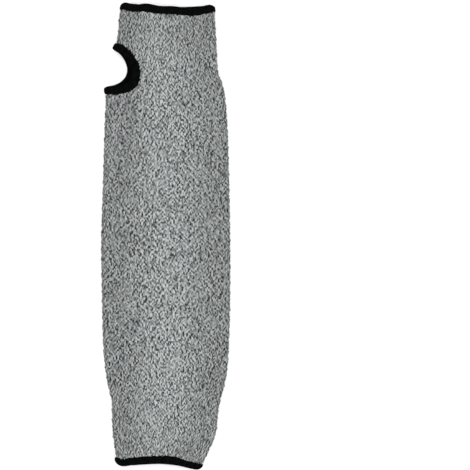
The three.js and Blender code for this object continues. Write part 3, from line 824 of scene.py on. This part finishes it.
def knit_look():
    """Marl yarn of white and black plies. Each leg of a stitch has its own mix of the two. Strands a
    little narrower than a stitch differ most from the strand beside them and somewhat from the one above,
    and the plies twist round each other inside a leg. The gaps between the legs are painted darker as painted
    shade, and the colour also carries painted light and shade from each point."""
    look = Look("marl_knit", Roughness=0.93, Specular_IOR_Level=0.18)
    wale, course = look.uv("stitches")
    leg = look.chance(look.vector(look.math("FLOOR", wale * 2), look.math("FLOOR", course)))
    strand = look.math("FLOOR", wale * STRANDS_PER_WALE)
    strand_row = look.math("FLOOR", course * STRANDS_PER_COURSE)
    own, beside, above, beyond = [
        look.chance(look.vector(strand + (STRAND_APART[0] + right), strand_row + (STRAND_APART[1] + up)))
        for right, up in ((0, 0), (1, 0), (0, 1), (1, 1))]
    cloud = look.noise(look.own_place(), scale=28.0, detail=1.0)
    from_edge = look.math("PINGPONG", wale * 2, 1.0)  # 0 at both edges of a stitch, 1 in its middle
    twist = look.math("FRACT", course * TWISTS_PER_COURSE + from_edge * TWIST_LEAN + own * TWIST_SHIFT)
    ply = look.math("ABSOLUTE", twist * 2 - 1.0)
    share = leg * LEG_MIX + (own - beside) * STRAND_MIX + (beyond - above) * STRAND_ROW_MIX
    share = look.math("MAXIMUM", share + ply * PLY_MIX + cloud * CLOUD_MIX - ALL_BLACK, 0.0)
    yarn = look.node("ShaderNodeValToRGB", {"stops": [(0.0, BLACK_YARN), (1.0, WHITE_YARN)]}, {0: share})
    # over, down and crown make the painted shade in the gaps between the legs and where one leg passes into
    # the next
    over = look.math("POWER", look.math("PINGPONG", wale * 2, 0.5) * 2, LEG_ROUNDNESS)
    down = look.math("PINGPONG", course, 0.5) * 2
    crown = look.math("MULTIPLY", over, LINK_TONE + down * (1 - LINK_TONE), clamp=True)
    # painted shade towards the folds and painted light and shade in patches, one number for each point
    tone = look.node("ShaderNodeAttribute", {"attribute_name": "tone"}, {}, "Fac")
    shaded = look.mix((1 - PAINTED_GAP_SHADE + crown * PAINTED_GAP_SHADE) * tone, (0.0, 0.0, 0.0, 1.0), yarn)
    fibres = look.noise(look.vector(wale * 9.0, course * 2.5), scale=1.0, detail=3.0, roughness=0.65)
    bump = look.bump(strength=0.5, distance=0.0002, height=fibres * 0.6 + ply * 0.4)
    look.feed_shader(Base_Color=shaded, Normal=bump)
    return look.material


def thread_look():
    """Black overlock thread: nearly black and a little mottled, each thread a little lighter or darker,
    with fine fibres along it."""
    look = Look("black_overlock_thread", Roughness=0.9, Specular_IOR_Level=0.01)
    along, inward = look.uv("threads")
    number = look.math("FLOOR", along)
    thread = look.node("ShaderNodeTexWhiteNoise", {"noise_dimensions": "1D"}, {"W": number})
    fibres = look.noise(look.vector(along * 3.0, inward * 60.0), scale=1.0, detail=3.0, roughness=0.6)
    mottle = look.noise(look.own_place(), scale=520.0)
    total = thread * THREAD_MIX + fibres * FIBRE_MIX + mottle * MOTTLE_MIX
    share = look.math("SUBTRACT", total, ALL_DARK, clamp=True)
    bump = look.bump(strength=0.4, distance=0.00015, height=fibres)
    look.feed_shader(Base_Color=look.mix(share, DARK_THREAD, LIGHT_THREAD), Normal=bump)
    return look.material


def build_floor():
    """A plain pale floor just under the sleeve."""
    look = Look("pale_floor", Roughness=0.95, Specular_IOR_Level=0.1, Base_Color=(0.92, 0.92, 0.92, 1.0))
    square = np.array([[0.0, 0.0], [1.0, 0.0], [1.0, 1.0], [0.0, 1.0]])
    corners = np.column_stack([(2 * square - 1) * FLOOR_HALF, np.full(4, -FLOOR_DROP)])
    floor = mesh_object("floor", corners, np.array([[0, 1, 2, 3]]), np.zeros((0, 3), int),
                        {"plain": square}, look.material)


def build_lights():
    """A broad soft light from straight above and a faint fill from all round."""
    sun = bpy.data.lights.new("overhead_softbox", "SUN")
    sun.energy, sun.angle = SOFTBOX_STRENGTH, math.radians(SOFTBOX_WIDTH)
    lamp = bpy.data.objects.new("overhead_softbox", sun)
    bpy.context.scene.collection.objects.link(lamp)
    world = bpy.data.worlds.new("studio")
    world.use_nodes = True
    background = world.node_tree.nodes["Background"]
    background.inputs["Color"].default_value = (1.0, 1.0, 1.0, 1.0)
    background.inputs["Strength"].default_value = ROOM_STRENGTH
    bpy.context.scene.world = world


def build_camera():
    """Straight above the middle of the picture, looking down, with +Y up in the picture."""
    data = bpy.data.cameras.new("camera")
    data.sensor_width = SENSOR
    fold_height = FOLD_RADIUS + KNIT_WALL
    data.lens = SENSOR * (CAMERA_HEIGHT - fold_height) / (PHOTO_SIZE * PHOTO_SCALE)
    camera = bpy.data.objects.new("camera", data)
    camera.location = (*PHOTO_CENTRE, CAMERA_HEIGHT)
    bpy.context.scene.collection.objects.link(camera)
    bpy.context.scene.camera = camera


build_camera()
build_lights()
build_floor()
bpy.context.scene.view_settings.view_transform = "Standard"

knit_material, thread_material = knit_look(), thread_look()
knit = knit_pieces(knit_material)
bindings = [
    end_binding("overlocked_hand_end", 1, 21, thread_material),
    end_binding("overlocked_arm_end", -1, 22, thread_material),
    thumb_binding("overlocked_thumb_hole", 23, thread_material),
]
for piece in knit:
    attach(piece, "root")
    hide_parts("knit_tube")
for piece, node in zip(bindings, ("hand_end_binding", "arm_end_binding", "thumb_hole_binding")):
    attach(piece, "root")
    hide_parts(node)

MEAN_GIRTH = float(section_at(np.linspace(0, SLEEVE_LENGTH, 200)).girth.mean())
